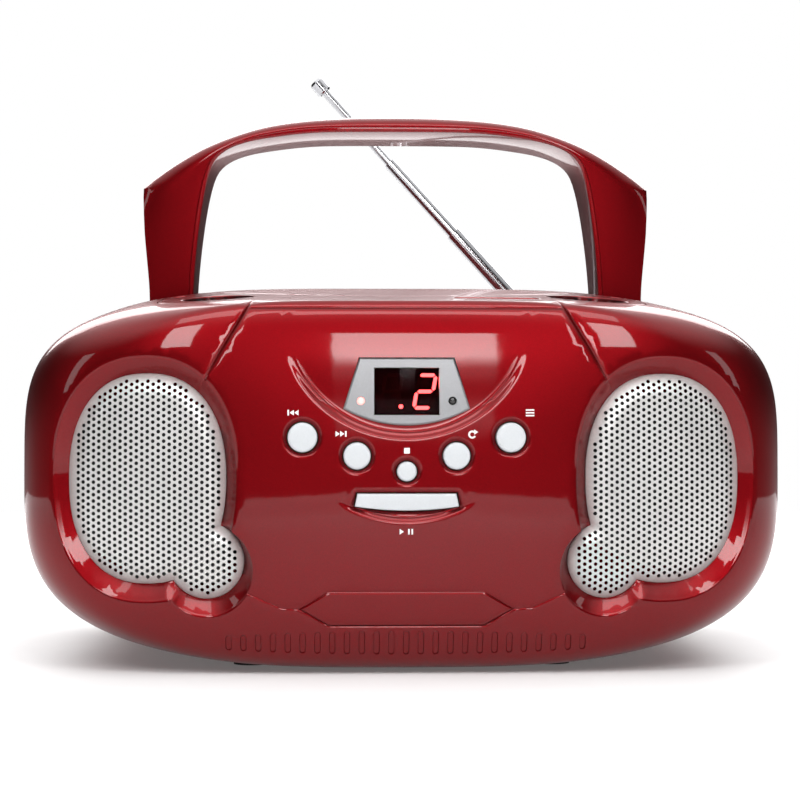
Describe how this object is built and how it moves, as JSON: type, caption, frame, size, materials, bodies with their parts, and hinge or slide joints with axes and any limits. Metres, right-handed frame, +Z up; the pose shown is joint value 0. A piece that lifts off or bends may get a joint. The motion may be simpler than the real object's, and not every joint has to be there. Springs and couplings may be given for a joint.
{
  "type": "portable CD boombox",
  "caption": "Rounded portable stereo with a top disc lid, front keys and small display, round-cornered speaker grilles, arched carrying handle and telescopic aerial.",
  "frame": {"origin": "on the surface that the feet stand on, under the middle of the bounding box", "axes": "+Z up, the front with its keys faces -Y, the left speaker is on -X"},
  "size_m": [0.24, 0.2132, 0.2153],
  "materials": {
    "red_gloss": "high gloss, metallic candy red",
    "silver_key": "satin light grey",
    "silver_bezel": "satin silver paint",
    "grille_metal": "satin silver",
    "dark_window": "dark tinted, polished",
    "black_plastic": "fine texture",
    "red_lamp": "lit red lamp",
    "dark_lamp": "unlit lamp",
    "chrome": "polished",
    "steel": "plain",
    "board": "solder mask",
    "paper": "pressed",
    "rubber": "matt",
    "brass": "plain",
    "aluminium": "plain",
    "white_plastic": "plain"
  },
  "bodies": {
    "cabinet": {"badge_plate": "red_gloss", "battery_contacts": "brass", "case_screws": "steel", "cd_chassis": "black_plastic", "cd_dampers": "rubber", "dial_scale": "white_plastic", "display_bezel": "silver_bezel", "display_window": "dark_window", "front_board": "board", "front_cabinet": "red_gloss", "guide_rods": "steel", "handle_pivot_pins": "steel", "headphone_socket": "black_plastic", "heat_sink": "aluminium", "led_display": "black_plastic", "left_grille": "grille_metal", "left_speaker_basket": "steel", "left_speaker_cone": "paper", "left_speaker_magnet": "steel", "main_board": "board", "mains_inlet": "black_plastic", "power_lamp": "red_lamp", "rear_cabinet": "red_gloss", "right_grille": "grille_metal", "right_speaker_basket": "steel", "right_speaker_cone": "paper", "right_speaker_magnet": "steel", "rubber_feet": "rubber", "sled_motor": "steel", "slide_switches": "black_plastic", "spindle_motor": "steel", "stereo_lamp": "dark_lamp", "tact_switches": "black_plastic", "top_deck": "red_gloss", "transformer": "steel", "tuner_board": "board", "tuning_capacitor": "aluminium", "volume_board": "board", "volume_potentiometer": "black_plastic"},
    "carry_handle": {"carry_handle": "red_gloss"},
    "disc_lid": {"cd_lid": "red_gloss"},
    "battery_door": {"battery_door": "red_gloss"},
    "skip_back_key": {"button_skip_back": "silver_key"},
    "skip_forward_key": {"button_skip_forward": "silver_key"},
    "stop_key": {"button_stop": "silver_key"},
    "program_key": {"button_program": "silver_key"},
    "repeat_key": {"button_repeat": "silver_key"},
    "play_key": {"button_play_pause": "silver_key"},
    "volume_knob": {"volume_knob": "silver_bezel"},
    "tuning_knob": {"tuning_knob": "silver_bezel"},
    "dial_pointer": {"dial_pointer": "white_plastic"},
    "function_slider": {"function_slider": "silver_bezel"},
    "band_slider": {"band_slider": "silver_bezel"},
    "turntable": {"turntable": "black_plastic"},
    "pickup": {"laser_pickup": "black_plastic"},
    "lead_screw": {"lead_screw": "steel"},
    "aerial_swivel": {"aerial_swivel": "chrome"},
    "aerial_tube_1": {"aerial_mast_1": "chrome"},
    "aerial_tube_2": {"aerial_mast_2": "chrome"},
    "aerial_tube_3": {"aerial_mast_3": "chrome"}
  },
  "joints": [
    {"name": "handle_swing", "type": "hinge", "parent": "cabinet", "child": "carry_handle", "pos_m": [0, 0.005, 0.113], "axis": [-1, 0, 0], "range_deg": [0, 50]},
    {"name": "disc_lid_hinge", "type": "hinge", "parent": "cabinet", "child": "disc_lid", "pos_m": [0, 0.053, 0.1193], "axis": [-1, 0, 0], "range_deg": [0, 32]},
    {"name": "battery_door_hinge", "type": "hinge", "parent": "cabinet", "child": "battery_door", "pos_m": [0, 0.1006, 0.0144], "axis": [-1, 0, 0], "range_deg": [0, 80]},
    {"name": "skip_back_key_press", "type": "slide", "parent": "cabinet", "child": "skip_back_key", "axis": [0, 1, 0], "range_m": [0, 0.0012], "stiffness_N_per_m": 300},
    {"name": "skip_forward_key_press", "type": "slide", "parent": "cabinet", "child": "skip_forward_key", "axis": [0, 1, 0], "range_m": [0, 0.0012], "stiffness_N_per_m": 300},
    {"name": "stop_key_press", "type": "slide", "parent": "cabinet", "child": "stop_key", "axis": [0, 1, 0], "range_m": [0, 0.0012], "stiffness_N_per_m": 300},
    {"name": "program_key_press", "type": "slide", "parent": "cabinet", "child": "program_key", "axis": [0, 1, 0], "range_m": [0, 0.0012], "stiffness_N_per_m": 300},
    {"name": "repeat_key_press", "type": "slide", "parent": "cabinet", "child": "repeat_key", "axis": [0, 1, 0], "range_m": [0, 0.0012], "stiffness_N_per_m": 300},
    {"name": "play_key_press", "type": "slide", "parent": "cabinet", "child": "play_key", "axis": [0, 1, 0], "range_m": [0, 0.0012], "stiffness_N_per_m": 300},
    {"name": "volume_turn", "type": "hinge", "parent": "cabinet", "child": "volume_knob", "pos_m": [-0.059, -0.072, 0.11], "axis": [0, 0, 1], "range_deg": [-150, 150]},
    {"name": "tuning_turn", "type": "hinge", "parent": "cabinet", "child": "tuning_knob", "pos_m": [0.059, -0.072, 0.11], "axis": [0, 0, 1], "range_deg": [0, 270]},
    {"name": "dial_pointer_travel", "type": "slide", "parent": "cabinet", "child": "dial_pointer", "axis": [1, 0, 0], "range_m": [0, 0.021]},
    {"name": "function_select", "type": "slide", "parent": "cabinet", "child": "function_slider", "axis": [0, 1, 0], "range_m": [0, 0.006]},
    {"name": "band_select", "type": "slide", "parent": "cabinet", "child": "band_slider", "axis": [0, 1, 0], "range_m": [0, 0.006]},
    {"name": "turntable_spin", "type": "hinge", "parent": "cabinet", "child": "turntable", "pos_m": [0, -0.014, 0.1], "axis": [0, 0, 1], "continuous": true},
    {"name": "lead_screw_turn", "type": "hinge", "parent": "cabinet", "child": "lead_screw", "pos_m": [0.03, 0.011, 0.0935], "axis": [1, 0, 0], "range_deg": [0, 3120]},
    {"name": "pickup_travel", "type": "slide", "parent": "cabinet", "child": "pickup", "axis": [1, 0, 0], "range_m": [0, 0.026]},
    {"name": "aerial_turn", "type": "hinge", "parent": "cabinet", "child": "aerial_swivel", "pos_m": [0.0655, 0.0985, 0.11], "axis": [0, 1, 0], "range_deg": [-47, 90]},
    {"name": "aerial_tilt", "type": "hinge", "parent": "aerial_swivel", "child": "aerial_tube_1", "pos_m": [0.0655, 0.0985, 0.11], "axis": [-0.7408, 0, -0.6717], "range_deg": [0, 90]},
    {"name": "aerial_draw_2", "type": "slide", "parent": "aerial_tube_1", "child": "aerial_tube_2", "axis": [-0.6717, 0, 0.7408], "range_m": [-0.037, 0.009]},
    {"name": "aerial_draw_3", "type": "slide", "parent": "aerial_tube_2", "child": "aerial_tube_3", "axis": [-0.6717, 0, 0.7408], "range_m": [-0.037, 0.009]}
  ],
  "couplings": [
    {"joint": "dial_pointer_travel", "follows": "tuning_turn", "m_per_rad": 0.0044563},
    {"joint": "lead_screw_turn", "follows": "pickup_travel", "rad_per_m": 2094.4}
  ]
}
